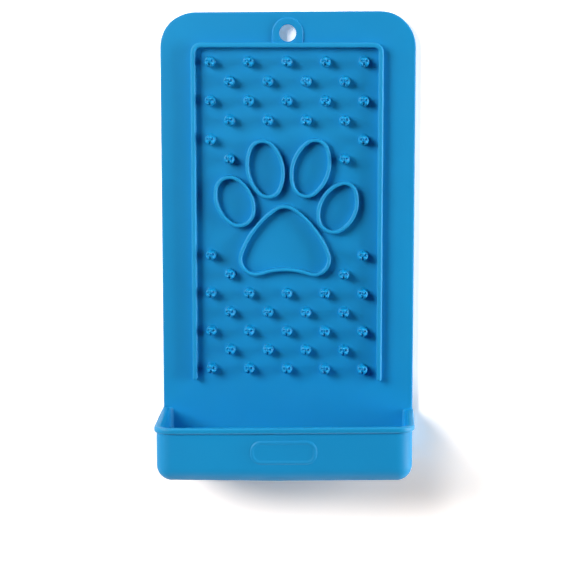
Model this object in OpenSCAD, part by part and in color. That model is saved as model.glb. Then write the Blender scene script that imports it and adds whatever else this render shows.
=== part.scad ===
// Wall lick mat: a silicone panel with a nub field, a paw figure in raised ribs and a catch trough.
// Upright as it hangs: +Z up, +X to the right, the front faces -Y.
// The origin is the hanging hole's axis at the back face of the panel.

/* [Panel] */
// Width of the back panel
panel_w = 140; // [130:1:170]
// Height of the whole mat, from the top edge down to the underside of the trough
panel_h = 251.5; // [242:0.5:290]
// Thickness of the back panel
panel_t = 3; // [2.4:0.1:5]
// Corner radius at the top of the panel
top_corner_r = 19.5; // [10:0.5:28]
// Rounding along the edges of the panel
panel_edge_r = 0.9; // [0.4:0.1:1.1]

/* [Hanging hole] */
// Diameter of the hanging hole
hole_d = 9.2; // [6:0.2:12]
// Distance from the top edge of the panel down to the centre of the hole
hole_drop = 11.7; // [10:0.1:14]
// Width of the raised arch around the hole
tab_band = 3.7; // [2.5:0.1:4]
// How far the arch stands out of the panel
tab_rise = 1.1; // [0.6:0.1:2]
// Distance from the edge of the hole down to the surround ridge
hole_to_ridge = 0.6; // [0.4:0.1:2]

/* [Surround ridge] */
// Outer width of the licking field, over the ridge
field_w = 105.4; // [102:0.2:120]
// Length of the licking field, from the ridge's outer top edge to its lower ends
field_h = 187; // [182:0.5:192]
// Width of the ridge
ridge_w = 2.6; // [2:0.1:4]
// Height of the ridge above the panel
ridge_h = 4.6; // [3:0.1:8]
// Outer corner radius of the ridge
ridge_corner_r = 5.4; // [4.5:0.1:9]

/* [Nubs] */
// Diameter of a nub
nub_d = 5.8; // [4:0.1:7]
// Height of a nub above the panel
nub_h = 6.4; // [5:0.1:9]
// Clearance between the ridge and the outermost nubs
nub_side_gap = 5; // [3:0.1:8]
// Clearance between the paw figure and the nubs beside it
nub_paw_gap = 1.3; // [0.8:0.1:3]
// Distance from the ridge's outer top edge down to the first row
first_row_drop = 10.1; // [8:0.1:12]
// Distance from the lower ends of the ridge up to the last row
last_row_rise = 6.5; // [4:0.1:14]
// Radius of a bump on the tip of a nub
bump_r = 0.72; // [0.4:0.02:0.8]
// Radius of a dimple in the tip of a nub
dimple_r = 0.8; // [0.4:0.05:0.9]

/* [Paw figure] */
// Width of the paw figure, which its toes and palm are shares of
paw_w = 78; // [66:1:90]
// Width of the rib that draws the paw
paw_rib_w = 2.2; // [1.6:0.1:2.6]
// Height of the rib above the panel
paw_rib_h = 4.2; // [3:0.1:8]

/* [Catch trough] */
// How far the trough reaches out in front of the panel
trough_d = 51; // [36:0.5:60]
// Outer height of the trough
trough_h = 31; // [27:0.5:38]
// Thickness of the trough's walls and floor
trough_wall = 2.6; // [2:0.1:4]
// Outer rounding of the trough's edges
trough_r = 8.5; // [6:0.5:11]
// Rounding where the side walls meet the panel, inside the trough
basin_back_r = 5; // [3:0.5:14]
// Distance from the panel's edge in to the side wall of the trough
trough_inset = 0.8; // [0.8:0.1:3]
// Height of the rim bead
rim_h = 3; // [2.5:0.1:5]
// How far the rim bead stands out of the wall
rim_out = 1.3; // [0.4:0.1:2]
// Rounding of the rim bead
rim_round = 1.1; // [0.5:0.05:1.2]
// Width of the bare plaque on the front
badge_w = 35.8; // [26:0.2:60]
// Height of the bare plaque on the front
badge_h = 12.8; // [8:0.2:13]
// How far the plaque stands out
badge_rise = 0.5; // [0.3:0.1:1]

/* [Suction cups] */
// Diameter of a suction cup at its lip
cup_d = 24; // [16:0.5:30]
// Height of a suction cup behind the panel
cup_h = 1.2; // [0.8:0.1:3]
// Sideways distance between suction cups
cup_pitch_x = 44; // [40:1:50]
// Distance from the underside of the mat up to the last row of suction cups
cup_rise = 31.8; // [28:0.2:48]
// Width of the flat lip of a suction cup
cup_lip = 0.8; // [0.5:0.1:1.5]
// Distance from the hanging hole down to the first row of suction cups
cup_drop = 24; // [20:1:28]

/* [Hidden] */
$fn = 64;

// One overrun serves every cut
cut_over = 1;

// Places of the panel, in the plan that is seen from the front, with the hole's axis at zero
panel_top = hole_drop;
panel_bottom = hole_drop - panel_h;

// The ridge begins just below the hole
field_top = -hole_d / 2 - hole_to_ridge;
field_bottom = field_top - field_h;
tab_r = hole_d / 2 + tab_band;
// Share of its width by which the ridge's top edges are rounded
ridge_round_share = 0.36;
tab_round_share = 0.5;

// The nubs stand in full rows above and below the paw. The paw's zone lies between them, and its height
// is counted in steps. Rows beside the paw have only their two end nubs, and its middle steps have no row.
upper_row_count = 4;
lower_row_count = 5;
zone_step_count = 9;
side_row_counts = [1, 2, 7, 8];
wide_row_gap_count = 4;
paw_zone_share = 1.229;
zone_h = paw_w * paw_zone_share;
first_row_y = field_top - first_row_drop;
last_row_y = field_bottom + last_row_rise;
row_pitch = (first_row_y - last_row_y - zone_h) / (upper_row_count + lower_row_count - 2);
zone_top_y = first_row_y - (upper_row_count - 1) * row_pitch;
paw_y = zone_top_y - zone_h / 2;
nub_pitch = (field_w - 2 * ridge_w - 2 * nub_side_gap - nub_d) / wide_row_gap_count;
// Rows are ordered by their steps past the last full row above the paw
nub_rows = concat(
    [for (i = [1 - upper_row_count : 0]) i],
    side_row_counts,
    [for (i = [0 : lower_row_count - 1]) zone_step_count + i]
);

// The tip of a nub: three bumps and three dimples in turn, about the axis
nub_edge_share = 0.14;
bump_circle_share = 0.27;
bump_sink_share = 0.62;
dimple_sink_share = 0.35;
tip_start_angle = 90;
tip_count = 3;

// Toes of the paw as shares of its width: place, then distance between the end arcs,
// radius of the low end, radius of the high end and radius of the sides
toe_place_shares = [[-0.378, 0.042], [-0.158, 0.268], [0.163, 0.278], [0.363, 0.010]];
toe_tilt_angles = [24.4, 10.7, -16.3, -25.4];
toe_form_shares = [
    [0.156, 0.104, 0.098, 0.242],
    [0.214, 0.091, 0.093, 0.287],
    [0.218, 0.096, 0.091, 0.283],
    [0.175, 0.107, 0.083, 0.238]
];

// Palm of the paw as shares of its width
palm_place_shares = [-0.021, -0.104];
palm_top_r_share = 0.114;
palm_lobe_r_share = 0.109;
palm_lobe_x_share = 0.207;
palm_lobe_drop_share = 0.268;
palm_side_r_share = 0.651;
palm_notch_r_share = 0.503;
// Reach of the palm's lobes from the middle of the paw
palm_reach_share = palm_lobe_x_share + palm_lobe_r_share - palm_place_shares[0];
rib_round_share = 0.42;
// The paw's rib turns by at most this angle from one station to the next
arc_step_angle = 8;
least_step_count = 7;
round_step_count = 3;

// The trough lies against the lower end of the panel
trough_top = panel_bottom + trough_h;
trough_half_w = panel_w / 2 - trough_inset;
basin_r = trough_r - trough_wall;
basin_half_w = trough_half_w - trough_wall;
basin_floor = panel_bottom + trough_wall;
// Share of its radius by which the basin's back rounding passes the panel's face
back_bite_share = 0.04;
// Share of the front's height, below the rim, at which the plaque's middle lies
badge_drop_share = 0.38;
badge_y = trough_top - rim_h - badge_drop_share * (trough_h - rim_h);
badge_r_share = 0.44;

// Suction cups
cup_columns = [-1, 0, 1];
cup_row_gap_count = 4;
cup_pitch_z = (panel_h - hole_drop - cup_drop - cup_rise) / cup_row_gap_count;
cup_foot_share = 0.78;
cup_dish_share = 0.75;
cup_eye_share = 0.3;

silicone_blue = [0.10, 0.52, 0.78];
silicone_light = [0.13, 0.57, 0.83];
silicone_deep = [0.08, 0.46, 0.72];

// Draws its children in the plan of the panel's front face: x to the right, y up, z out of the face
module on_face() {
    translate([0, -panel_t, 0])
        rotate([90, 0, 0])
            children();
}

// A block from one corner to the opposite one
module block(low, high) {
    translate(low)
        cube(high - low);
}

// A rectangle from one corner to the opposite one
module plate_2d(low, high) {
    translate(low)
        square(high - low);
}

// Half of an edge-rounded strip's section: from the axis out to w, with both outer edges rounded
module edge_profile(w, t, r) {
    plate_2d([0, 0], [w - r, t]);
    plate_2d([0, r], [w, t - r]);
    for (y = [r, t - r])
        translate([w - r, y])
            circle(r);
}

// Section of an upright rib, with its foot at zero and its top edges rounded
module rib_profile(w, h, r) {
    plate_2d([-w / 2, 0], [w / 2, h - r]);
    plate_2d([r - w / 2, 0], [w / 2 - r, h]);
    for (x = [r - w / 2, w / 2 - r])
        translate([x, h - r])
            circle(r);
}

// A rib bent round a centre, from one angle through a sweep
module rib_arc(centre, radius, from, sweep, w, h, r) {
    translate([centre[0], centre[1], 0])
        rotate([0, 0, from])
            rotate_extrude(angle = sweep)
                translate([radius, 0])
                    rib_profile(w, h, r);
}

// A straight rib along the plan's y, at x, from one end to the other
module rib_upright(x, low, high, w, h, r) {
    translate([x, high, 0])
        rotate([90, 0, 0])
            linear_extrude(high - low)
                rib_profile(w, h, r);
}

// A straight rib along the plan's x, at y
module rib_level(left, right, y, w, h, r) {
    translate([left, y, 0])
        rotate([90, 0, 90])
            linear_extrude(right - left)
                rib_profile(w, h, r);
}

// A slab corner with rounded edges, a quarter turn from an angle
module slab_corner(centre, radius, from) {
    translate([centre[0], centre[1], -panel_t])
        rotate([0, 0, from])
            rotate_extrude(angle = 90)
                edge_profile(radius, panel_t, panel_edge_r);
}

// The left and right strips beside the corners of a slab, with rounded outer edges
module slab_side(x, side, low, high, w) {
    translate([x, side > 0 ? high : low, -panel_t])
        rotate([90, 0, side > 0 ? 0 : 180])
            linear_extrude(high - low)
                edge_profile(w, panel_t, panel_edge_r);
}

// The top and bottom strips between the corners of a slab
module slab_end(y, side, half_w, w) {
    translate([-side * half_w, y, -panel_t])
        rotate([90, 0, side * 90])
            linear_extrude(2 * half_w)
                edge_profile(w, panel_t, panel_edge_r);
}

module back_panel() {
    top_x = panel_w / 2 - top_corner_r;
    low_x = panel_w / 2 - trough_r;
    top_y = panel_top - top_corner_r;
    low_y = panel_bottom + trough_r;
    color(silicone_blue)
        on_face()
            difference() {
                union() {
                    block([-top_x, low_y, -panel_t], [top_x, top_y, 0]);
                    for (side = [-1, 1]) {
                        slab_corner([side * top_x, top_y], top_corner_r, side > 0 ? 0 : 90);
                        slab_corner([side * low_x, low_y], trough_r, side > 0 ? 270 : 180);
                        slab_side(side * top_x, side, low_y, top_y, top_corner_r);
                    }
                    slab_end(top_y, 1, top_x, top_corner_r);
                    slab_end(low_y, -1, low_x, trough_r);
                }
                translate([0, 0, -panel_t - cut_over])
                    cylinder(h = panel_t + 2 * cut_over, d = hole_d);
            }
}

module hanging_tab() {
    tab_round = tab_rise * tab_round_share;
    color(silicone_light)
        on_face()
            difference() {
                union() {
                    rotate_extrude(angle = 180) {
                        plate_2d([0, 0], [tab_r, tab_rise - tab_round]);
                        plate_2d([0, 0], [tab_r - tab_round, tab_rise]);
                        translate([tab_r - tab_round, tab_rise - tab_round])
                            circle(tab_round);
                    }
                    rib_upright(0, field_top, 0, 2 * tab_r, tab_rise, tab_round);
                }
                translate([0, 0, -cut_over])
                    cylinder(h = tab_rise + 2 * cut_over, d = hole_d);
            }
}

module surround_ridge() {
    mid_r = ridge_corner_r - ridge_w / 2;
    round_r = ridge_w * ridge_round_share;
    corner_x = field_w / 2 - ridge_corner_r;
    corner_y = field_top - ridge_corner_r;
    color(silicone_light)
        on_face() {
            rib_level(-corner_x, corner_x, field_top - ridge_w / 2, ridge_w, ridge_h, round_r);
            for (side = [-1, 1]) {
                side_x = side * (field_w - ridge_w) / 2;
                corner = [side * corner_x, corner_y];
                rib_arc(corner, mid_r, side > 0 ? 0 : 90, 90, ridge_w, ridge_h, round_r);
                rib_upright(side_x, field_bottom, corner_y, ridge_w, ridge_h, round_r);
            }
        }
}

// A nub is turned: a straight stem, a rounded edge, then bumps and dimples about its tip
module nub() {
    edge = nub_d * nub_edge_share;
    ring_r = nub_d * bump_circle_share;
    difference() {
        union() {
            rotate_extrude() {
                plate_2d([0, 0], [nub_d / 2, nub_h - edge]);
                plate_2d([0, 0], [nub_d / 2 - edge, nub_h]);
                intersection() {
                    translate([nub_d / 2 - edge, nub_h - edge])
                        circle(edge);
                    plate_2d([0, 0], [nub_d / 2, nub_h]);
                }
            }
            for (i = [0 : tip_count - 1])
                rotate([0, 0, tip_start_angle + i * 360 / tip_count])
                    translate([ring_r, 0, nub_h - bump_r * bump_sink_share])
                        sphere(bump_r);
        }
        for (i = [0 : tip_count - 1])
            rotate([0, 0, tip_start_angle + (i + 1 / 2) * 360 / tip_count])
                translate([ring_r, 0, nub_h + dimple_r * dimple_sink_share])
                    sphere(dimple_r);
    }
}

// Tells whether a row stands beside the paw
function beside_paw(row) = row > 0 && row < zone_step_count;

// Height of a row in the plan
function row_y(row) =
    row <= 0 ? zone_top_y - row * row_pitch
    : beside_paw(row) ? zone_top_y - row * zone_h / zone_step_count
    : zone_top_y - zone_h - (row - zone_step_count) * row_pitch;

// Places of a row's nubs across the field: the ends of a row beside the paw stay clear of the palm
function row_columns(row) =
    let (half = (wide_row_gap_count - abs(row + upper_row_count - 1) % 2) / 2)
    let (clear_x = paw_w * palm_reach_share + paw_rib_w / 2 + nub_paw_gap + nub_d / 2)
    let (end_x = max(half * nub_pitch, clear_x))
    beside_paw(row) ? [-end_x, end_x] : [for (c = [-half : half]) c * nub_pitch];

module nub_row(index) {
    row = nub_rows[index];
    color(silicone_light)
        on_face()
            for (x = row_columns(row))
                translate([x, row_y(row), 0])
                    nub();
}

// Points along one arc, each with its outward normal: an arc is a centre, a radius, a start and a sweep
function arc_stations(arc) =
    let (count = max(least_step_count, ceil(abs(arc[3]) / arc_step_angle)))
    [for (i = [0 : count - 1])
        let (a = arc[2] + arc[3] * i / count, way = [cos(a), sin(a)])
        [arc[0] + arc[1] * way, way * sign(arc[3])]];

// Section of the paw's rib: its foot, then its two rounded top edges
function rib_section(w, h, r) = concat(
    [[-w / 2, 0]],
    [for (i = [0 : round_step_count])
        let (a = 180 - 90 * i / round_step_count)
        [r - w / 2 + r * cos(a), h - r + r * sin(a)]],
    [for (i = [0 : round_step_count])
        let (a = 90 - 90 * i / round_step_count)
        [w / 2 - r + r * cos(a), h - r + r * sin(a)]],
    [[w / 2, 0]]
);

// A rib that runs round a closed chain of arcs, listed against the clock
module rib_loop(arcs) {
    stations = [for (arc = arcs) each arc_stations(arc)];
    section = rib_section(paw_rib_w, paw_rib_h, paw_rib_w * rib_round_share);
    count = len(stations);
    width = len(section);
    points = [for (s = stations) for (p = section)
        let (spot = s[0] + p[0] * s[1])
        [spot[0], spot[1], p[1]]];
    faces = [for (i = [0 : count - 1]) for (j = [0 : width - 1])
        [i * width + j, i * width + (j + 1) % width,
         (i + 1) % count * width + (j + 1) % width, (i + 1) % count * width + j]];
    polyhedron(points, faces);
}

// A toe is an egg of four arcs: two ends, and two sides that run into both
module toe_ring(index) {
    place = paw_w * toe_place_shares[index];
    form = paw_w * toe_form_shares[index];
    half = form[0] / 2;
    low_r = form[1];
    high_r = form[2];
    side_r = form[3];
    low_reach = side_r - low_r;
    high_reach = side_r - high_r;
    side_y = (pow(low_reach, 2) - pow(high_reach, 2)) / (4 * half);
    side_x = sqrt(pow(low_reach, 2) - pow(side_y + half, 2));
    low_angle = atan2(-half - side_y, side_x);
    high_angle = atan2(half - side_y, side_x);
    color(silicone_light)
        on_face()
            translate([place[0], place[1] + paw_y, 0])
                rotate([0, 0, toe_tilt_angles[index]])
                    rib_loop([
                        [[-side_x, side_y], side_r, low_angle, high_angle - low_angle],
                        [[0, half], high_r, high_angle, 180 - 2 * high_angle],
                        [[side_x, side_y], side_r, 180 - high_angle, high_angle - low_angle],
                        [[0, -half], low_r, 180 - low_angle, 180 + 2 * low_angle]
                    ]);
}

// The palm is six arcs: a top, two long sides, two lobes and a hollow between the lobes
module palm_ring() {
    place = paw_w * palm_place_shares;
    top_r = paw_w * palm_top_r_share;
    lobe_r = paw_w * palm_lobe_r_share;
    lobe = paw_w * [palm_lobe_x_share, -palm_lobe_drop_share];
    side_r = paw_w * palm_side_r_share;
    notch_r = paw_w * palm_notch_r_share;
    // The side's centre is found from the top's and the lobe's by the lengths of the triangle
    span = norm(lobe);
    top_reach = side_r - top_r;
    lobe_reach = side_r - lobe_r;
    along = (pow(top_reach, 2) - pow(lobe_reach, 2) + pow(span, 2)) / (2 * span);
    away = sqrt(pow(top_reach, 2) - pow(along, 2));
    side = lobe / span * along + [lobe[1], -lobe[0]] / span * away;
    notch = [0, lobe[1] - sqrt(pow(notch_r + lobe_r, 2) - pow(lobe[0], 2))];
    top_angle = atan2(-side[1], -side[0]);
    lobe_angle = atan2(lobe[1] - side[1], lobe[0] - side[0]);
    notch_angle = atan2(lobe[1] - notch[1], lobe[0] - notch[0]);
    lobe_sweep = lobe_angle - notch_angle + 180;
    color(silicone_light)
        on_face()
            translate([place[0], place[1] + paw_y, 0])
                rib_loop([
                    [side, side_r, lobe_angle, top_angle - lobe_angle],
                    [[0, 0], top_r, top_angle, 180 - 2 * top_angle],
                    [[-side[0], side[1]], side_r, 180 - top_angle, top_angle - lobe_angle],
                    [[-lobe[0], lobe[1]], lobe_r, 180 - lobe_angle, lobe_sweep],
                    [notch, notch_r, 180 - notch_angle, 2 * notch_angle - 180],
                    [lobe, lobe_r, notch_angle - 180, lobe_sweep]
                ]);
}

// A tub seen from its open back and top: its bottom and front edges are rounded, with ball corners
module tub(half_w, low, high, d, r) {
    in_x = half_w - r;
    block([-half_w, low + r, 0], [half_w, high, d - r]);
    block([-in_x, low, 0], [in_x, high, d - r]);
    block([-in_x, low + r, 0], [in_x, high, d]);
    translate([-in_x, low + r, d - r])
        rotate([0, 90, 0])
            cylinder(h = 2 * in_x, r = r);
    for (x = [-in_x, in_x]) {
        translate([x, low + r, 0])
            cylinder(h = d - r, r = r);
        translate([x, high, d - r])
            rotate([90, 0, 0])
                cylinder(h = high - low - r, r = r);
        translate([x, low + r, d - r])
            sphere(r);
    }
}

// Hollow of a back corner, turned about its axis: straight, then flared where the rim's edge is rounded
module corner_hollow(low, high, flare) {
    rotate([-90, 0, 0])
        rotate_extrude() {
            plate_2d([0, low - cut_over], [basin_back_r, high + cut_over]);
            if (flare > 0) {
                plate_2d([0, high], [basin_back_r + flare, high + cut_over]);
                difference() {
                    plate_2d([0, high - flare], [basin_back_r + flare, high]);
                    translate([basin_back_r + flare, high - flare])
                        circle(flare);
                }
            }
        }
}

// Fills the two back corners of the basin between two heights, rounded towards the basin
module basin_corners(low, high, flare) {
    reach = basin_back_r * (1 - back_bite_share);
    inner_x = basin_half_w - reach;
    outer_x = basin_half_w + flare;
    for (side = [-1, 1])
        difference() {
            block([side > 0 ? inner_x : -outer_x, low, 0], [side > 0 ? outer_x : -inner_x, high, reach]);
            translate([side * (basin_half_w - basin_back_r), 0, reach])
                corner_hollow(low, high, flare);
        }
}

module catch_trough() {
    wall_top = trough_top - rim_h;
    basin_d = trough_d - trough_wall;
    color(silicone_blue)
        on_face() {
            difference() {
                tub(trough_half_w, panel_bottom, wall_top, trough_d, trough_r);
                translate([0, 0, -cut_over])
                    tub(basin_half_w, basin_floor, wall_top + cut_over, basin_d + cut_over, basin_r);
            }
            basin_corners(basin_floor, wall_top, 0);
        }
}

// Section of the rim bead: the wall's thickness and the part that stands out of it
module rim_profile() {
    w = trough_wall + rim_out;
    near = rim_round;
    far = w - rim_round;
    high = rim_h - rim_round;
    plate_2d([0, 0], [far, high]);
    plate_2d([near, 0], [far, rim_h]);
    plate_2d([0, rim_round], [w, high]);
    for (spot = [[far, rim_round], [far, high], [near, high]])
        translate(spot)
            circle(rim_round);
}

module trough_rim() {
    low = trough_top - rim_h;
    in_x = trough_half_w - trough_r;
    in_z = trough_d - trough_r;
    color(silicone_light)
        on_face() {
            for (side = [-1, 1]) {
                translate([side * in_x, low, in_z])
                    rotate([-90, 0, 0])
                        rotate([0, 0, side > 0 ? 270 : 180])
                            rotate_extrude(angle = 90)
                                translate([basin_r, 0])
                                    rim_profile();
                translate([side * basin_half_w, low, side > 0 ? 0 : in_z])
                    rotate([0, side > 0 ? 0 : 180, 0])
                        linear_extrude(in_z)
                            rim_profile();
            }
            translate([in_x, low, trough_d - trough_wall])
                rotate([0, -90, 0])
                    linear_extrude(2 * in_x)
                        rim_profile();
            basin_corners(low, trough_top, rim_round);
        }
}

module badge_plate() {
    r = badge_h * badge_r_share;
    half = [badge_w / 2, badge_h / 2];
    color(silicone_blue)
        on_face()
            translate([0, badge_y, trough_d])
                linear_extrude(badge_rise) {
                    plate_2d([r - half[0], -half[1]], [half[0] - r, half[1]]);
                    plate_2d([-half[0], r - half[1]], [half[0], half[1] - r]);
                    for (x = [r - half[0], half[0] - r])
                        for (y = [r - half[1], half[1] - r])
                            translate([x, y])
                                circle(r);
                }
}

// A suction cup behind the panel: a flared foot, hollowed by a cone inside a flat lip
module suction_cup() {
    dish_d = cup_d - 2 * cup_lip;
    translate([0, 0, -panel_t - cup_h])
        difference() {
            cylinder(h = cup_h, d1 = cup_d, d2 = cup_d * cup_foot_share);
            cylinder(h = cup_h * cup_dish_share, d1 = dish_d, d2 = dish_d * cup_eye_share);
        }
}

module suction_row(index) {
    color(silicone_deep)
        on_face()
            for (c = cup_columns)
                translate([c * cup_pitch_x, -cup_drop - index * cup_pitch_z, 0])
                    suction_cup();
}

back_panel();
hanging_tab();
surround_ridge();
nub_row(0);  // nub_row_01
nub_row(1);  // nub_row_02
nub_row(2);  // nub_row_03
nub_row(3);  // nub_row_04
nub_row(4);  // nub_row_05
nub_row(5);  // nub_row_06
nub_row(6);  // nub_row_07
nub_row(7);  // nub_row_08
nub_row(8);  // nub_row_09
nub_row(9);  // nub_row_10
nub_row(10);  // nub_row_11
nub_row(11);  // nub_row_12
nub_row(12);  // nub_row_13
toe_ring(0);  // toe_ring_outer_left
toe_ring(1);  // toe_ring_inner_left
toe_ring(2);  // toe_ring_inner_right
toe_ring(3);  // toe_ring_outer_right
palm_ring();
catch_trough();
trough_rim();
badge_plate();
suction_row(0);  // suction_row_1
suction_row(1);  // suction_row_2
suction_row(2);  // suction_row_3
suction_row(3);  // suction_row_4
suction_row(4);  // suction_row_5
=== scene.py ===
import bmesh
import bpy
import math
import numpy as np
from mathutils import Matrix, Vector
from mathutils.geometry import delaunay_2d_cdt


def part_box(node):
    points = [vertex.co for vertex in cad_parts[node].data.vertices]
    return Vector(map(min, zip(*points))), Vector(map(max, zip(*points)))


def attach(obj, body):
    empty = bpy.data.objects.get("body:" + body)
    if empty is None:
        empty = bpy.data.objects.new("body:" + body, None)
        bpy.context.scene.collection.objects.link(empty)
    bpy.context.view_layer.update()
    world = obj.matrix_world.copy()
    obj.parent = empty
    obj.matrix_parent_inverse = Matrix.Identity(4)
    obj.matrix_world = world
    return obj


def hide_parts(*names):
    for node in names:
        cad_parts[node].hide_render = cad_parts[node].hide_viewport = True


# The dressed wall lick mat. Shapes are written in mm in the row frame: zero is the hanging hole's axis at the
# back face of the panel, +X is right as seen from the front, +Y points into the wall and +Z up.
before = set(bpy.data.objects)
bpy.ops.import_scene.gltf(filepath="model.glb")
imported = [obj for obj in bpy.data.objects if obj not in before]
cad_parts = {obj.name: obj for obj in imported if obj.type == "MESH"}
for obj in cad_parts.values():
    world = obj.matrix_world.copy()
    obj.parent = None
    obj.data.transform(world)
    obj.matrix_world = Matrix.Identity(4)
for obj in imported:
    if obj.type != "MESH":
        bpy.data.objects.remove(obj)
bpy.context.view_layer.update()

MM = 0.001


def box_mm(node_name):
    """Lowest and highest corner of a CAD node, in mm."""
    return [[round(v / MM, 3) for v in corner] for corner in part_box(node_name)]


# The panel's front face, bottom edge, half width and top edge
(_, FRONT, LOW), (HALF, _, TOP) = box_mm("back_panel")
HOLE_R = 4.6            # the hanging hole
WELD = 1e-6             # points closer than this, in m, become one
SHARP_ANGLE = 34.0      # edges that turn by more stay sharp
# Heights over the panel of what roots a rib, tab or nub in it: deep end, top of the root, start of the foot
ROOT_DEEP, ROOT_TOP, FOOT_START = -0.35, -0.02, 0.004
# How far the root of a rib or of the tab stands out beyond its foot
ROOT_OUT = 0.35


# Shape helpers
def smooth(t):
    t = np.clip(t, 0.0, 1.0)
    return t * t * (3 - 2 * t)


def flex(points):
    """The trough's front hangs a little askew, as soft silicone does, and its right side leans in."""
    reach = 50.0                        # from the panel's face to where the whole of it acts
    upper, fade = -200.0, 6.0           # nothing moves above this height
    rim_tilt, base_tilt, base_mid = 0.0155, 0.018, -4.0
    lean = 0.4
    points = np.array(points, float)
    x, y, z = points[:, 0], points[:, 1], points[:, 2]
    away = smooth((FRONT - y) / reach) * smooth((upper - z) / fade)
    up = np.clip((z - LOW) / (RIM_TOP - LOW), 0, 1)
    rim_move = rim_tilt * x
    base_move = base_tilt * np.clip(x - base_mid, 0, None)
    points[:, 2] += away * (rim_move * up + base_move * (1 - up))
    points[:, 0] -= lean * away * np.clip(x / HALF, 0, 1)
    return points


def make(name, verts, faces, nodes, material, bend=False):
    """One dressed piece: a closed mesh that rides the body and stands for its CAD nodes. bend: flex it."""
    verts = np.asarray(verts, float)
    if bend:
        verts = flex(verts)
    mesh = bpy.data.meshes.new(name)
    mesh.from_pydata((verts * MM).tolist(), [], [list(face) for face in faces])
    mesh.update()
    work = bmesh.new()
    work.from_mesh(mesh)
    bmesh.ops.remove_doubles(work, verts=work.verts, dist=WELD)
    bmesh.ops.recalc_face_normals(work, faces=work.faces)
    work.to_mesh(mesh)
    work.free()
    mesh.polygons.foreach_set("use_smooth", [True] * len(mesh.polygons))
    mesh.set_sharp_from_angle(angle=math.radians(SHARP_ANGLE))
    piece = bpy.data.objects.new(name, mesh)
    bpy.context.scene.collection.objects.link(piece)
    mesh.materials.append(material)
    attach(piece, "root")
    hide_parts(*nodes)


class Build:
    """Collects the points and faces of one piece, which can hold several closed solids."""
    def __init__(self):
        self.verts, self.faces, self.count = [], [], 0

    def loft(self, loops, closed=True, ring=False):
        """Joins loops of equal count. closed: each loop closes. ring: the last loop joins the first."""
        m, n = len(loops), len(loops[0])
        faces = []
        for a in range(m if ring else m - 1):
            b = (a + 1) % m
            for i in range(n if closed else n - 1):
                j = (i + 1) % n
                faces.append([a * n + i, a * n + j, b * n + j, b * n + i])
        if ring and not closed:
            faces.append([a * n for a in range(m)])
            faces.append([a * n + n - 1 for a in range(m)][::-1])
        if closed and not ring:
            faces.append(list(range(n))[::-1])
            faces.append([(m - 1) * n + i for i in range(n)])
        self.verts.append(np.vstack(loops))
        self.faces += [[i + self.count for i in face] for face in faces]
        self.count += m * n

    def done(self, name, nodes, material, bend=False):
        make(name, np.vstack(self.verts), self.faces, nodes, material, bend)


def circle(count):
    """Unit circle of that many points, counter-clockwise from +X."""
    t = 2 * math.pi * np.arange(count) / count
    return np.c_[np.cos(t), np.sin(t)]


def arc(centre, radius, start, end, steps):
    """Points of an arc from one angle to another, in degrees."""
    angles = np.radians(np.linspace(start, end, steps + 1))
    return [(centre[0] + radius * math.cos(a), centre[1] + radius * math.sin(a)) for a in angles]


def upright(points, y):
    """Loop of (x, z) points at the depth y, or at one depth a point."""
    return np.c_[points[:, 0], np.broadcast_to(np.asarray(y, float), len(points)), points[:, 1]]


def rib_profile(width, height, edge, foot, steps=5):
    """Section of a rib: (offset across, height above the panel), from one foot over the top to the other.
    edge, foot: radii of its top edges and of the fillets at its feet."""
    half = width / 2
    foot_x = -half - foot
    left = [(foot_x - ROOT_OUT, ROOT_DEEP), (foot_x - ROOT_OUT, ROOT_TOP), (foot_x, FOOT_START)]
    left += arc((foot_x, foot), foot, -90, 0, steps)[1:]
    left += arc((-half + edge, height - edge), edge, 180, 90, steps)
    right = [(-across, up) for across, up in left[::-1]]
    return left + right


def chain(parts, step=0.5):
    """Points and outward normals along a closed chain of arcs (centre, radius, start angle, sweep)."""
    points, outward = [], []
    for centre, radius, start, sweep in parts:
        count = max(8, int(abs(math.radians(sweep)) * radius / step))
        angles = np.radians(start + sweep * np.arange(count) / count)
        spokes = np.c_[np.cos(angles), np.sin(angles)]
        points.append(np.array(centre) + radius * spokes)
        outward.append(spokes * np.sign(sweep))
    return np.vstack(points), np.vstack(outward)


# Silicone
def node(tree, kind, **values):
    """Adds a shader node and fills the sockets that values names, with _ for a space."""
    added = tree.nodes.new("ShaderNode" + kind)
    for key, value in values.items():
        added.inputs[key.replace("_", " ")].default_value = value
    return added


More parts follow.
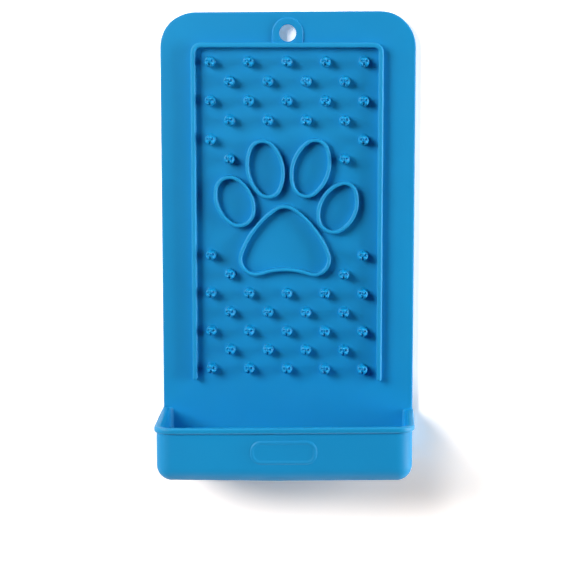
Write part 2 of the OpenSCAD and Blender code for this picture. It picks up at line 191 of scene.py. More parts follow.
def silicone(name, base, rough, painted_tip_light=None):
    """Blue silicone of the roughness rough[0] to rough[1].
    Last argument (y where it starts, y where it ends, gain): a painted glow that makes the colour lighter
    towards thin tips, in place of the light that shines through them."""
    material = bpy.data.materials.new(name)
    material.use_nodes = True
    tree = material.node_tree
    link = tree.links.new
    shader = tree.nodes["Principled BSDF"]
    shader.inputs["Specular IOR Level"].default_value = 0.5
    shader.inputs["IOR"].default_value = 1.41
    coords = node(tree, "TexCoord")
    shift = node(tree, "Mapping", Location=(0.37, 0.21, 0.53))
    link(coords.outputs["Object"], shift.inputs["Vector"])

    def noise(scale, detail):
        texture = node(tree, "TexNoise", Scale=scale, Detail=detail)
        link(shift.outputs[0], texture.inputs["Vector"])
        return texture.outputs["Fac"]

    cloud, wave, grain = noise(22, 3), noise(90, 2), noise(2600, 2)

    ramp = node(tree, "ValToRGB")
    stops = ((0.3, (0.96, 0.965, 0.975)), (0.7, (1.04, 1.035, 1.025)))
    for stop, (place, gains) in zip(ramp.color_ramp.elements, stops):
        stop.position = place
        stop.color = (*(c * g for c, g in zip(base, gains)), 1)
    link(cloud, ramp.inputs["Fac"])
    tint = ramp.outputs["Color"]
    # Painted glow: the base colour is made lighter towards the tips of ribs and nubs
    if painted_tip_light:
        start, end, gain = painted_tip_light
        axes = node(tree, "SeparateXYZ")
        link(coords.outputs["Object"], axes.inputs[0])
        painted_glow_ramp = node(tree, "MapRange", From_Min=start * MM, From_Max=end * MM, To_Min=1.0, To_Max=gain)
        painted_glow_ramp.interpolation_type = "SMOOTHSTEP"
        link(axes.outputs["Y"], painted_glow_ramp.inputs["Value"])
        scale = node(tree, "VectorMath")
        scale.operation = "SCALE"
        link(tint, scale.inputs[0])
        link(painted_glow_ramp.outputs["Result"], scale.inputs["Scale"])
        tint = scale.outputs[0]
    link(tint, shader.inputs["Base Color"])

    sheen = node(tree, "MapRange", To_Min=rough[0], To_Max=rough[1])
    link(wave, sheen.inputs["Value"])
    link(sheen.outputs["Result"], shader.inputs["Roughness"])
    fine = node(tree, "Bump", Strength=0.12, Distance=0.00004)
    link(grain, fine.inputs["Height"])
    soft = node(tree, "Bump", Strength=0.25, Distance=0.00012)
    link(wave, soft.inputs["Height"])
    link(fine.outputs["Normal"], soft.inputs["Normal"])
    link(soft.outputs["Normal"], shader.inputs["Normal"])
    return material


# The ribs, nub tips and rim are copies of the panel's silicone whose base colours are tuned a little paler in
# hue, a painted tint for the whiter highlights that fall on them
rubber = silicone("blue_silicone", (0.0, 0.284, 0.615), (0.50, 0.62))
# The ribs and nub tips get the painted glow towards their tops
rib_rubber = silicone("blue_silicone_ribs", (0.003, 0.280, 0.578), (0.50, 0.60), (-4.5, -7.0, 1.1))
tip_rubber = silicone("blue_silicone_tips", (0.001, 0.276, 0.574), (0.33, 0.41), (-6.5, -8.5, 1.12))
rim_rubber = silicone("blue_silicone_rim", (0.004, 0.290, 0.600), (0.40, 0.50))


# Panel
CORNER_TOP, CORNER_LOW = 19.5, 8.5


def outline(inset, steps=14):
    """The panel's outline, inset all round, as (x, z), counter-clockwise from the bottom left corner."""
    side_steps = (40, 60, 30, 60)       # along the bottom, right, top and left side
    top_r, low_r = CORNER_TOP - inset, CORNER_LOW - inset
    half, top, low = HALF - inset, TOP - inset, LOW + inset
    corners = [((-half + low_r, low + low_r), low_r, 180, 270),
               ((half - low_r, low + low_r), low_r, 270, 360),
               ((half - top_r, top - top_r), top_r, 0, 90),
               ((-half + top_r, top - top_r), top_r, 90, 180)]
    points = []
    for i, (centre, radius, start, end) in enumerate(corners):
        corner = arc(centre, radius, start, end, steps)
        next_centre, next_radius, next_start, _ = corners[(i + 1) % 4]
        a, b = corner[-1], arc(next_centre, next_radius, next_start, next_start, 0)[0]
        points += corner
        points += [(a[0] + (b[0] - a[0]) * j / side_steps[i], a[1] + (b[1] - a[1]) * j / side_steps[i])
                   for j in range(1, side_steps[i])]
    return np.array(points)


def skew(points):
    """The panel's top edge is cut a little lower at its left, as in the photograph."""
    start, fade, slope, drop = 5.0, 6.0, 0.0055, 0.12
    points = np.array(points, float)
    share = smooth((points[:, 2] - start) / fade)
    points[:, 2] += share * (slope * points[:, 0] - drop)
    return points


def waves(x, z):
    """Very slight unevenness of the moulded sheet."""
    return (0.030 * np.sin(x * 0.071 + 0.4) * np.sin(z * 0.053 + 1.1)
            + 0.018 * np.sin(x * 0.13 - z * 0.09 + 2.0))


def on_sheet(x, z):
    """Whether a grid point lies inside the panel's outline, clear of its edge and of the hole."""
    clear, hole_clear, corner_clear = 2.0, 1.8, 1.5
    if x * x + z * z < (HOLE_R + hole_clear) ** 2:
        return False
    if z > (TOP + LOW) / 2:
        end, height, radius = TOP, z, CORNER_TOP - corner_clear
    else:
        end, height, radius = -LOW, -z, CORNER_LOW
    dx, dz = abs(x) - (HALF - clear - radius), height - (end - clear - radius)
    return not (dx > 0 and dz > 0 and dx * dx + dz * dz > radius * radius)


def fill_sheet(verts, outer, inner, y, step):
    """Triangles between the panel's edge loop and the hole's loop, over a grid that lets the sheet bend.
    outer, inner: (first point, count) of the loops in verts. Gives the new points and the faces."""
    margin = 1.5
    (edge_first, n), (hole_first, k) = outer, inner
    edge = verts[edge_first:edge_first + n][:, [0, 2]]
    hole = verts[hole_first:hole_first + k][:, [0, 2]]
    low, high = edge.min(0) + margin, edge.max(0) - margin
    points = [tuple(p) for p in edge] + [tuple(p) for p in hole]
    points += [(x, z) for x in np.arange(low[0], high[0], step) for z in np.arange(low[1], high[1], step)
               if on_sheet(x, z)]
    edges = [(i, (i + 1) % n) for i in range(n)] + [(n + i, n + (i + 1) % k) for i in range(k)]
    placed, _, triangles, origins, _, _ = delaunay_2d_cdt([Vector(p) for p in points], edges, [], 0, 1e-6)
    index, extra = [], []
    for place, origin in zip(placed, origins):
        known = [o for o in origin if o < n + k]
        if known:
            o = known[-1]
            index.append(edge_first + o if o < n else hole_first + o - n)
        else:
            index.append(len(verts) + len(extra))
            extra.append((place[0], y, place[1]))
    faces = [[index[i] for i in triangle] for triangle in triangles]
    # A face with all its corners on the hole's loop would close the hole
    return np.array(extra), [f for f in faces if not all(hole_first <= i < hole_first + k for i in f)]


def panel():
    round_front, round_back = 0.9, 0.7
    front_grid, back_grid = 3.0, 12.0
    hole_count = 48
    edge_clear, edge_fade = 1.0, 8.0    # where the waves start, from the panel's edge inwards
    hole_clear, hole_fade = 8.0, 6.0    # and from the hole's axis outwards
    back = [(round_back * (1 - math.sin(t)), -round_back * (1 - math.cos(t)))
            for t in np.radians(np.linspace(0, 90, 6))]
    front = [(round_front * (1 - math.cos(t)), FRONT + round_front * (1 - math.sin(t)))
             for t in np.radians(np.linspace(0, 90, 7))]
    rings = [upright(outline(inset), y) for inset, y in back + front]
    # The hole's bore: (growth of its radius, y), straight and then opening at the back
    bore = [upright(circle(hole_count) * (HOLE_R + grow), y)
            for grow, y in ((0, FRONT), (0, -0.5), (0.15, -0.15), (0.5, 0.0))]
    faces = []

    def wall(first, loops):
        """Joins the loops, which start at the point first. Gives where the last of them starts."""
        count = len(loops[0])
        for a in range(len(loops) - 1):
            near = first + a * count
            far = near + count
            for i in range(count):
                j = (i + 1) % count
                faces.append([near + i, near + j, far + j, far + i])
        return first + (len(loops) - 1) * count
    edge_count = len(rings[0])
    front_edge = wall(0, rings)
    bore_start = front_edge + edge_count
    bore_end = wall(bore_start, bore)
    verts = np.vstack(rings + bore)
    for edge, hole, y, step in ((front_edge, bore_start, FRONT, front_grid), (0, bore_end, 0.0, back_grid)):
        more, sheet = fill_sheet(verts, (edge, edge_count), (hole, hole_count), y, step)
        verts = np.vstack([verts, more])
        faces += sheet
    x, z = verts[:, 0], verts[:, 2]
    flat = np.abs(verts[:, 1] - FRONT) < 1e-6
    share = smooth((np.minimum(HALF - np.abs(x), TOP - z) - edge_clear) / edge_fade)
    share *= smooth((np.hypot(x, z) - hole_clear) / hole_fade)
    verts[:, 1] += np.where(flat, share * waves(x, z), 0)
    make("moulded_back_panel", skew(verts), faces, ["back_panel"], rubber)


panel()


# Hanging tab
def tab():
    (_, face, base), (radius, _, _) = box_mm("hanging_tab")
    painted_glow_ramp = FRONT - face
    low = base - 0.4                    # it runs on into the ridge
    edge, foot = 0.5, 0.45
    hole_out, hole_deep = 0.35, -0.2
    ring = circle(72)
    loops = []

    def shape(grow):
        """Tab outline grown all round: half circle above, straight sides to the ridge below."""
        points = []
        for across, up in ring:
            reach = radius + grow
            if up < 0:
                reach = min(reach / max(abs(across), 1e-9), low / up)
            points.append((reach * across, reach * up))
        return np.array(points)

    def put(points, height):
        loops.append(upright(points, FRONT - height))
    put(shape(foot + ROOT_OUT), ROOT_DEEP)
    put(shape(foot + ROOT_OUT), ROOT_TOP)
    put(shape(foot), FOOT_START)
    for grow, height in arc((foot, foot), foot, 270, 180, 5)[1:]:
        put(shape(grow), height)
    for grow, height in arc((-edge, painted_glow_ramp - edge), edge, 0, 90, 5):
        put(shape(grow), height)
    for bore, height in arc((HOLE_R + edge, painted_glow_ramp - edge), edge, 90, 180, 5):
        put(ring * bore, height)
    put(ring * HOLE_R, 0.0)
    put(ring * (HOLE_R + hole_out), hole_deep)
    build = Build()
    build.loft(loops, ring=True)
    build.done("raised_hanging_tab", ["hanging_tab"], rubber)


tab()


# Surround ridge
def ridge():
    (_, face, low), (outer, _, outer_top) = box_mm("surround_ridge")
    width, height = 2.6, FRONT - face
    edge, foot, outer_corner = 0.94, 0.25, 5.4
    aside = 0.35                        # the photo shows it a little left of the middle
    up_count, across_count, corner_steps = 110, 60, 12
    mid, top, corner = outer - width / 2, outer_top - width / 2, outer_corner - width / 2
    side, across = top - corner - low, 2 * mid - 2 * corner
    points = [(-mid, low + side * i / up_count) for i in range(up_count + 1)]
    points += arc((-mid + corner, top - corner), corner, 180, 90, corner_steps)[1:]
    points += [(-mid + corner + across * i / across_count, top) for i in range(1, across_count)]
    points += arc((mid - corner, top - corner), corner, 90, 0, corner_steps)
    points += [(mid, top - corner - side * i / up_count) for i in range(1, up_count + 1)]
    points = np.array(points)
    along = np.gradient(points, axis=0)
    along /= np.linalg.norm(along, axis=1)[:, None]
    outward = np.c_[-along[:, 1], along[:, 0]]
    straight = (np.abs(points[:, 1] - top) < 1e-6) & (np.abs(points[:, 0]) < mid - corner)
    outward[straight] = (0, 1)
    points[:, 0] -= aside

    def station(point, normal, inset):
        """Section across the ridge, made slimmer and lower by inset."""
        lower, tighter, least_edge = 0.8 * inset, 0.6 * inset, 0.25
        edge_r = max(edge - tighter, least_edge)
        section = np.array(rib_profile(width - 2 * inset, height - lower, edge_r, foot))
        return upright(point + section[:, :1] * normal, FRONT - section[:, 1])

    def end(point, normal, gap, radius=0.8):
        """Section near one of the ridge's rounded ends, which shrinks towards it."""
        inset = radius - math.sqrt(max(radius * radius - (radius - min(gap, radius)) ** 2, 0))
        return station(point + np.array([0, gap]), normal, inset)
    gaps = (1.3, 0.75, 0.4, 0.15, 0.0)
    stations = [end(points[0], outward[0], gap) for gap in gaps[::-1]]
    stations += [station(point, normal, 0) for point, normal in zip(points[2:-2], outward[2:-2])]
    stations += [end(points[-1], outward[-1], gap) for gap in gaps]
    build = Build()
    build.loft([np.array([s[k] for s in stations]) for k in range(len(stations[0]))], closed=False, ring=True)
    build.done("moulded_surround_ridge", ["surround_ridge"], rib_rubber)


ridge()


# Nubs
NUB_R = 2.9
(_, _, row_low), (row_edge, _, row_high) = box_mm("nub_row_01")
FIRST_ROW = (row_low + row_high) / 2
COLUMN = (row_edge - NUB_R) / 2         # the outer nubs of a full row stand two columns from the middle
ROW = 10.648


def nub(build, x, z):
    tip_r, high, edge, foot = 2.66, 5.05, 0.95, 0.3
    root_out, taper_end, step, blend = 0.3, 0.3, 0.09, 0.3
    innermost, tip_start, tip_inset = 0.05, 3, 0.02
    bump_at, bump_r, bump_h, bump_power = 1.6, 1.06, 1.35, 0.6
    dimple_at, dimple_r, dimple_h, dimple_power = 1.35, 0.82, 0.4, 0.7
    down = 0.12                         # the tip's pattern sits a little below its middle
    left, lower = 0.37, 0.25            # the photo shows the nubs a little left and low
    middle = (x - left, z - lower)
    ring = circle(72)
    spread = NUB_R + foot
    profile = [(spread + root_out, ROOT_DEEP), (spread + root_out, ROOT_TOP), (spread, FOOT_START)]
    profile += arc((spread, foot), foot, 270, 180, 6)[1:]
    profile += [(tip_r, high - edge - taper_end)]
    profile += arc((tip_r - edge, high - edge), edge, 0, 90, 10)
    profile += [(radius, high) for radius in np.arange(tip_r - edge - step, innermost, -step)]

    def spot(points, angle, distance, radius, power):
        a = math.radians(angle)
        gap = np.hypot(points[:, 0] - distance * math.cos(a), points[:, 1] - distance * math.sin(a) + down)
        gap = gap / radius
        return np.clip(1 - gap * gap, 0, 1) ** power

    def relief(points):
        """Height on the tip: three domed bumps, with a dimple between each two."""
        return sum(bump_h * spot(points, 90 + turn, bump_at, bump_r, bump_power)
                   - dimple_h * spot(points, 30 + turn, dimple_at, dimple_r, dimple_power)
                   for turn in (0, 120, 240))
    loops = []
    for radius, up in profile:
        points = ring * radius
        heights = np.full(len(points), float(up))
        if up > tip_start and radius < tip_r - tip_inset:
            heights = heights + relief(points) * smooth((tip_r - radius) / blend)
        loops.append(upright(points + middle, FRONT - heights))
    build.loft(loops)


# Five and four nubs by turns. Beside the paw only the outermost two stand, and four rows there have none.
FULL = {5: (-2, -1, 0, 1, 2), 4: (-1.5, -0.5, 0.5, 1.5)}
ROWS = [(i, FULL[4 if i % 2 else 5]) for i in (0, 1, 2, 3)]
ROWS += [(i, (-1.5, 1.5) if i % 2 else (-2, 2)) for i in (4, 5, 10, 11)]
ROWS += [(i, FULL[4 if i % 2 else 5]) for i in (12, 13, 14, 15, 16)]
for count, (step, columns) in enumerate(ROWS, 1):
    row = Build()
    for column in columns:
        nub(row, COLUMN * column, FIRST_ROW - ROW * step)
    name = "nub_row_%02d" % count
    row.done("licking_" + name, [name], tip_rubber)


# Paw
PAW = 78.0
PAW_Z = FIRST_ROW - 79.8825             # the height that the centres below are measured from
# Each toe: name, centre, tilt in degrees, then the distance between the centres of its two ends and the radii
# of its low end, high end and sides. All but the tilt are shares of PAW.
TOES = (("outer_left", (-0.378, 0.042), 24.4, (0.156, 0.104, 0.098, 0.242)),
        ("inner_left", (-0.158, 0.268), 10.7, (0.214, 0.091, 0.093, 0.287)),
        ("inner_right", (0.163, 0.278), -16.3, (0.218, 0.096, 0.091, 0.283)),
        ("outer_right", (0.363, 0.010), -25.4, (0.175, 0.107, 0.083, 0.238)))


def toe(place, tilt, form):
    """Egg of four arcs: low end, high end and two long sides that meet them smoothly."""
    span, low_r, high_r, side_r = [PAW * share for share in form]
    half, low_gap, high_gap = span / 2, side_r - low_r, side_r - high_r
    side_z = (low_gap * low_gap - high_gap * high_gap) / (4 * half)
    side_x = math.sqrt(low_gap * low_gap - (side_z + half) ** 2)
    low_a = math.degrees(math.atan2(-half - side_z, side_x))
    high_a = math.degrees(math.atan2(half - side_z, side_x))
    points, outward = chain([((-side_x, side_z), side_r, low_a, high_a - low_a),
                             ((0, half), high_r, high_a, 180 - 2 * high_a),
                             ((side_x, side_z), side_r, 180 - high_a, high_a - low_a),
                             ((0, -half), low_r, 180 - low_a, 180 + 2 * low_a)])
    t = math.radians(tilt)
    turn = np.array([[math.cos(t), -math.sin(t)], [math.sin(t), math.cos(t)]])
    return points @ turn.T + np.array([PAW * place[0], PAW * place[1] + PAW_Z]), outward @ turn.T


def palm():
    """Closed line of six arcs: top, two long sides, two lobes and the notch between them."""
    top_r, lobe_r, side_r, notch_r = 0.114 * PAW, 0.109 * PAW, 0.651 * PAW, 0.503 * PAW
    lobe = PAW * np.array([0.207, -0.268])
    flatten = 0.988                     # the photo's palm is this much lower
    span = math.hypot(*lobe)
    top_gap, lobe_gap = side_r - top_r, side_r - lobe_r
    along = (top_gap * top_gap - lobe_gap * lobe_gap + span * span) / (2 * span)
    aside = math.sqrt(top_gap * top_gap - along * along)
    side = lobe / span * along + np.array([lobe[1], -lobe[0]]) / span * aside
    notch = np.array([0, lobe[1] - math.sqrt((notch_r + lobe_r) ** 2 - lobe[0] ** 2)])
    top_a = math.degrees(math.atan2(-side[1], -side[0]))
    lobe_a = math.degrees(math.atan2(lobe[1] - side[1], lobe[0] - side[0]))
    notch_a = math.degrees(math.atan2(lobe[1] - notch[1], lobe[0] - notch[0]))
    sweep = lobe_a - notch_a + 180
    points, outward = chain([(side, side_r, lobe_a, top_a - lobe_a),
                             ((0, 0), top_r, top_a, 180 - 2 * top_a),
                             ((-side[0], side[1]), side_r, 180 - top_a, top_a - lobe_a),
                             ((-lobe[0], lobe[1]), lobe_r, 180 - lobe_a, sweep),
                             (notch, notch_r, 180 - notch_a, 2 * notch_a - 180),
                             (lobe, lobe_r, notch_a - 180, sweep)])
    foot = points[:, 1].min()
    points[:, 1] = foot + (points[:, 1] - foot) * flatten
    return points + np.array([PAW * -0.021, PAW * -0.104 + PAW_Z]), outward


def ring_piece(name, node_name, points, outward):
    """Rib that follows a closed line."""
    width, height, edge, foot = 1.95, 4.15, 0.85, 0.2
    build = Build()
    build.loft([upright(points + across * outward, FRONT - up)
                for across, up in rib_profile(width, height, edge, foot)], ring=True)
    build.done(name, [node_name], rib_rubber)


for label, place, tilt, form in TOES:
    ring_piece("moulded_toe_" + label, "toe_ring_" + label, *toe(place, tilt, form))
ring_piece("moulded_palm", "palm_ring", *palm())


# Catch trough
(_, OUT_FRONT, _), (OUT_HALF, _, _) = box_mm("catch_trough")
(_, _, RIM_FOOT), (RIM_HALF, _, RIM_TOP) = box_mm("trough_rim")
RIM_LOW = RIM_FOOT - 0.3
WALL = 2.6
# Seen from above: back of the outer and of the inner wall, and their corner radii at the front and at the back
OUT_BACK, OUT_R, OUT_BACK_R = -0.95, 8.5, 0.3
IN_BACK, IN_R, IN_BACK_R = -2.6, OUT_R - WALL, 4.0
IN_HALF, IN_FRONT = OUT_HALF - WALL, OUT_FRONT + WALL
WALL_STEPS = (-226, -221, -216)         # heights at which the walls get a loop, so that they can bend


def pan(half, front, back, front_r, back_r, z, steps=10):
    """Closed loop, seen from above: back left, front left, front right, back right."""
    front_r, back_r = max(front_r, 0.02), max(back_r, 0.02)
    points = []

    def corner(x, y, radius, start, end):
        points.extend(arc((x, y), radius, start, end, steps))

    def line(end_x, end_y, count):
        x, y = points[-1]
        points.extend([(x + (end_x - x) * i / count, y + (end_y - y) * i / count) for i in range(1, count)])
    corner(-half + back_r, back - back_r, back_r, 90, 180)
    line(-half, front + front_r, 14)
    corner(-half + front_r, front + front_r, front_r, 180, 270)
    line(half - front_r, front, 40)
    corner(half - front_r, front + front_r, front_r, 270, 360)
    line(half, back - back_r, 14)
    corner(half - back_r, back - back_r, back_r, 0, 90)
    line(-half + back_r, back, 24)
    return np.array([(x, y, z) for x, y in points])


def outer_pan(grow, z, back=OUT_BACK):
    return pan(OUT_HALF + grow, OUT_FRONT - grow, back, OUT_R + grow, OUT_BACK_R, z)


def trough():
    top = RIM_LOW + 0.5                 # the walls end inside the rim bead
    lip, lip_back, lip_back_r = 1.6, -1.4, 2.6
    back_share, back_r_share, least_back_r = 0.5, 0.55, 0.8
    loops = []
    for t in np.radians(np.linspace(0, 90, 11)):
        loops.append(outer_pan(-OUT_R * (1 - math.sin(t)), LOW + OUT_R * (1 - math.cos(t))))
    for z in WALL_STEPS + (top,):
        loops.append(outer_pan(0, z))
    loops.append(pan(OUT_HALF - lip, OUT_FRONT + lip, lip_back, OUT_R - lip, lip_back_r, top))
    for z in (RIM_LOW,) + WALL_STEPS[::-1]:
        loops.append(pan(IN_HALF, IN_FRONT, IN_BACK, IN_R, IN_BACK_R, z))
    for t in np.radians(np.linspace(90, 0, 9)):
        inset = IN_R * (1 - math.sin(t))
        back = IN_BACK - inset * back_share
        back_r = max(IN_BACK_R - inset * back_r_share, least_back_r)
        z = LOW + WALL + IN_R * (1 - math.cos(t))
        loops.append(pan(IN_HALF - inset, IN_FRONT + inset, back, IN_R - inset, back_r, z))
    build = Build()
    build.loft(loops)
    build.done("moulded_catch_trough", ["catch_trough"], rubber, bend=True)


def rim():
    out, bead_r = RIM_HALF - OUT_HALF, 1.1
    high = RIM_TOP - RIM_LOW
    back = -0.98
    root_in, root_back, root_back_r, root_up = 1.0, -1.6, 3, 0.3
    seam_in, seam_up = 0.1, 0.02
    loops = [pan(OUT_HALF - root_in, OUT_FRONT + root_in, root_back, OUT_R - root_in, root_back_r,
                 RIM_LOW + root_up),
             pan(OUT_HALF - seam_in, OUT_FRONT + seam_in, back, OUT_R, OUT_BACK_R, RIM_LOW + seam_up)]
    outside = arc((out - bead_r, bead_r), bead_r, -90, 0, 6)
    outside += arc((out - bead_r, high - bead_r), bead_r, 0, 90, 6)
    for grow, up in outside:
        loops.append(outer_pan(grow, RIM_LOW + up, back))
    for grow, up in arc((bead_r, high - bead_r), bead_r, 90, 180, 6):
        loops.append(pan(IN_HALF + grow, IN_FRONT - grow, IN_BACK + grow, IN_R + grow, IN_BACK_R + grow,
                         RIM_LOW + up))
    loops.append(pan(IN_HALF, IN_FRONT, IN_BACK, IN_R, IN_BACK_R, RIM_LOW))
    build = Build()
    build.loft(loops, ring=True)
    build.done("rolled_trough_rim", ["trough_rim"], rim_rubber, bend=True)


def badge():
    """Bare plaque: a raised border line round a flat field."""
    (_, _, low), (half_wide, _, high) = box_mm("badge_plate")
    middle, half_high, corner = (low + high) / 2, (high - low) / 2, 5.6
    # (growth of the outline, height above the trough's front)
    section = ((0.5, -0.5), (0.5, -0.03), (0.25, 0.004), (0.05, 0.08), (-0.1, 0.2), (-0.3, 0.33),
               (-0.55, 0.43), (-0.85, 0.49), (-1.1, 0.5), (-1.35, 0.46), (-1.6, 0.36), (-1.85, 0.25),
               (-2.1, 0.2), (-2.4, 0.18), (-4.0, 0.18))

    def plate(grow, height):
        radius = max(corner + grow, 0.05)
        wide, tall = half_wide + grow - radius, half_high + grow - radius
        points = []
        for x, z, angle in ((wide, tall, 0), (-wide, tall, 90), (-wide, -tall, 180), (wide, -tall, 270)):
            points += arc((x, z), radius, angle, angle + 90, 10)
        return upright(np.array(points) + (0, middle), OUT_FRONT - height)
    build = Build()
    build.loft([plate(grow, height) for grow, height in section])
    build.done("bare_trough_badge", ["badge_plate"], rubber, bend=True)


trough()
rim()
badge()


# Suction cups
CUP_R = 12.0
# (radius, y) from the middle of the root, out over the lip and back to the middle of the dish
CUP = ((8.6, -0.5), (9.36, -0.4), (9.36, 0.0), (9.7, 0.12), (10.6, 0.5), (11.4, 0.88), (11.8, 1.08),
       (CUP_R, 1.14), (11.97, 1.19), (11.88, 1.2), (11.6, 1.19), (11.2, 1.1), (9.8, 0.86), (8.0, 0.62),
       (6.0, 0.45), (4.0, 0.35), (2.0, 0.31), (0.5, 0.30))


def cup_row(count):
    """Three cups where the CAD has them."""
    name = "suction_row_%d" % count
    (_, _, low), (edge, _, high) = box_mm(name)
    row = Build()
    for x in (CUP_R - edge, 0, edge - CUP_R):
        row.loft([upright(circle(64) * radius + (x, (low + high) / 2), y) for radius, y in CUP])
    row.done("cupped_" + name, [name], rubber)


for count in (1, 2, 3, 4, 5):
    cup_row(count)


# Wall, floor and world, with lengths in m from here on

# The wall glows a little where the photo's is blown out to white. The glow stops round the trough, where the
# mat's shadow falls: middle (x, z), half size (x, z) and width of the fade.
CALM_MID, CALM_HALF, CALM_FADE = (0.005, -0.2355), (0.07, 0.0205), 0.03
# Behind the hanging hole it is weaker too, a painted shade on the wall seen through the hole: radius up to
# which the shade is full, radius where it has faded out, and the share of the glow that is left
SHADE_IN, SHADE_OUT, SHADE_LEFT = 0.006, 0.014, 0.6


def paint(name, tone, more, glow):
    """Pale paint of two diffuse layers, seen only from its front and only by rays that draw it, so that no
    shadow falls from it on the mat."""
    material = bpy.data.materials.new(name)
    material.use_nodes = True
    tree = material.node_tree
    link = tree.links.new
    tree.nodes.clear()

    def calc(kind, a, b=None):
        step = node(tree, "Math")
        step.operation = kind
        for i, value in enumerate((a, b)):
            if isinstance(value, (int, float)):
                step.inputs[i].default_value = value
            elif value is not None:
                link(value, step.inputs[i])
        return step.outputs[0]

    def join(a, b):
        both = node(tree, "AddShader")
        link(a.outputs[0], both.inputs[0])
        link(b.outputs[0], both.inputs[1])
        return both
    axes = node(tree, "SeparateXYZ")
    link(node(tree, "TexCoord").outputs["Object"], axes.inputs[0])
    x, z = axes.outputs["X"], axes.outputs["Z"]

    def beyond(place, mid, half):
        gap = calc("MAXIMUM", calc("SUBTRACT", calc("ABSOLUTE", calc("SUBTRACT", place, mid)), half), 0.0)
        return calc("POWER", gap, 2.0)
    away = calc("ADD", beyond(x, CALM_MID[0], CALM_HALF[0]), beyond(z, CALM_MID[1], CALM_HALF[1]))
    far = node(tree, "MapRange", From_Max=CALM_FADE, To_Max=glow)
    far.interpolation_type = "SMOOTHSTEP"
    link(calc("POWER", away, 0.5), far.inputs["Value"])
    shade = node(tree, "MapRange", From_Min=SHADE_IN ** 2, From_Max=SHADE_OUT ** 2, To_Min=SHADE_LEFT)
    link(calc("ADD", calc("MULTIPLY", x, x), calc("MULTIPLY", z, z)), shade.inputs["Value"])
    light = node(tree, "Emission")
    link(calc("MULTIPLY", far.outputs["Result"], shade.outputs["Result"]), light.inputs["Strength"])
    layers = join(node(tree, "BsdfDiffuse", Color=(*tone, 1)), node(tree, "BsdfDiffuse", Color=(*more, 1)))

    path, face = node(tree, "LightPath"), node(tree, "NewGeometry")
    seen = calc("MAXIMUM", path.outputs["Is Camera Ray"], path.outputs["Is Glossy Ray"])
    seen = calc("MAXIMUM", seen, path.outputs["Is Transmission Ray"])
    mix = node(tree, "MixShader")
    link(calc("MULTIPLY", seen, calc("SUBTRACT", 1.0, face.outputs["Backfacing"])), mix.inputs["Fac"])
    link(node(tree, "BsdfTransparent").outputs[0], mix.inputs[1])
    link(join(layers, light).outputs[0], mix.inputs[2])
    link(mix.outputs[0], node(tree, "OutputMaterial").inputs["Surface"])
    return material


def stage_quad(name, corners, material):
    mesh = bpy.data.meshes.new(name)
    mesh.from_pydata(corners, [], [[0, 1, 2, 3]])
    mesh.materials.append(material)
    quad = bpy.data.objects.new(name, mesh)
    bpy.context.scene.collection.objects.link(quad)


WALL_GAP = 0.0001                       # from the suction cups' lips to the wall
WALL_Y = box_mm("suction_row_1")[1][1] * MM + WALL_GAP
ROOM, ROOM_FRONT, FLOOR_Z, CEILING_Z = 3, -4, -1.3, 2.5
wall_paint = paint("wall_paint", (1.0, 1.0, 1.0), (0.45, 0.32, 0.24), 0.35)
floor_paint = paint("floor_paint", (0.8, 0.8, 0.8), (0.1, 0.1, 0.1), 0.2)
stage_quad("wall", [(-ROOM, WALL_Y, FLOOR_Z), (ROOM, WALL_Y, FLOOR_Z), (ROOM, WALL_Y, CEILING_Z),
                    (-ROOM, WALL_Y, CEILING_Z)], wall_paint)
stage_quad("floor", [(-ROOM, ROOM_FRONT, FLOOR_Z), (ROOM, ROOM_FRONT, FLOOR_Z), (ROOM, WALL_Y, FLOOR_Z),
                     (-ROOM, WALL_Y, FLOOR_Z)], floor_paint)

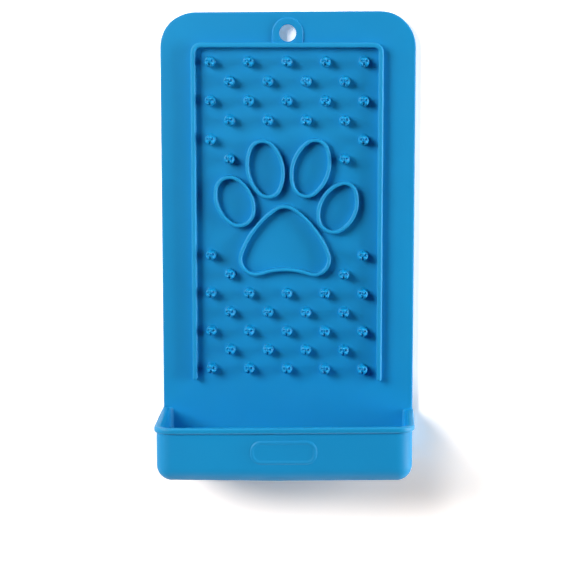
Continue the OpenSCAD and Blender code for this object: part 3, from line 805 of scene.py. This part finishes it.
# The world lights the mat's back, and hardly its front. Where the camera sees it, it is plain and pale.
world = bpy.data.worlds.new("studio")
bpy.context.scene.world = world
world.use_nodes = True
sky = world.node_tree
back_light = sky.nodes["Background"]
back_light.inputs["Color"].default_value = (0.97, 0.985, 1.0, 1)
way = node(sky, "SeparateXYZ")
level = node(sky, "MapRange", From_Min=0.0, From_Max=0.35, To_Min=0.02, To_Max=0.6)
sky.links.new(node(sky, "TexCoord").outputs["Generated"], way.inputs[0])
sky.links.new(way.outputs["Y"], level.inputs["Value"])
sky.links.new(level.outputs["Result"], back_light.inputs["Strength"])
pick = node(sky, "MixShader")
sky.links.new(node(sky, "LightPath").outputs["Is Camera Ray"], pick.inputs["Fac"])
sky.links.new(back_light.outputs[0], pick.inputs[1])
sky.links.new(node(sky, "Background", Strength=1.0).outputs[0], pick.inputs[2])
sky.links.new(pick.outputs[0], sky.nodes["World Output"].inputs["Surface"])


# Lamps
def lamp(name, place, size, watts):
    """Rectangular soft light, turned to the middle of the mat. Places and watts follow the photograph."""
    aim = Vector((0, -0.02, -0.12))
    light = bpy.data.lights.new(name, "AREA")
    light.shape = "RECTANGLE"
    light.size, light.size_y = size
    light.energy = watts
    holder = bpy.data.objects.new(name, light)
    holder.location = place
    holder.rotation_euler = (aim - Vector(place)).to_track_quat("-Z", "Y").to_euler()
    bpy.context.scene.collection.objects.link(holder)


lamp("key", (-1.006, -0.958, 0.478), (0.62, 0.74), 20.4)
lamp("key_low", (-1.343, -0.563, 0.268), (0.35, 0.4), 4)
lamp("side_strip", (1.41, -0.506, 0.06), (0.35, 1.1), 13.6)
lamp("wall_strip", (1.49, -0.155, -0.24), (0.27, 1.0), 17)
lamp("top_right", (0.382, -0.087, 1.329), (0.35, 0.35), 5.5)
lamp("from_below", (0, -0.28, -1.6), (0.5, 0.5), 4.8)
lamp("low_left", (-1.125, -0.67, -0.87), (0.4, 0.4), 1.5)


# Camera, fitted to the photograph by the panel's corners, the nub lattice and the trough's edges
CAM_PLACE = (0.041611, -0.990537, 0.00237)
CAM_TURN = (81.76986, 0.00488, 2.40253)     # about X, Y and Z, in degrees
CAM_SENSOR, CAM_LENS = 36.0, 112.0616       # width and focal length in mm

optics = bpy.data.cameras.new("camera")
optics.sensor_width = CAM_SENSOR
optics.lens = CAM_LENS
optics.clip_start, optics.clip_end = 0.05, 20
camera = bpy.data.objects.new("camera", optics)
camera.location = CAM_PLACE
camera.rotation_euler = [math.radians(turn) for turn in CAM_TURN]
bpy.context.scene.collection.objects.link(camera)
bpy.context.scene.camera = camera

bpy.context.scene.view_settings.view_transform = "Standard"
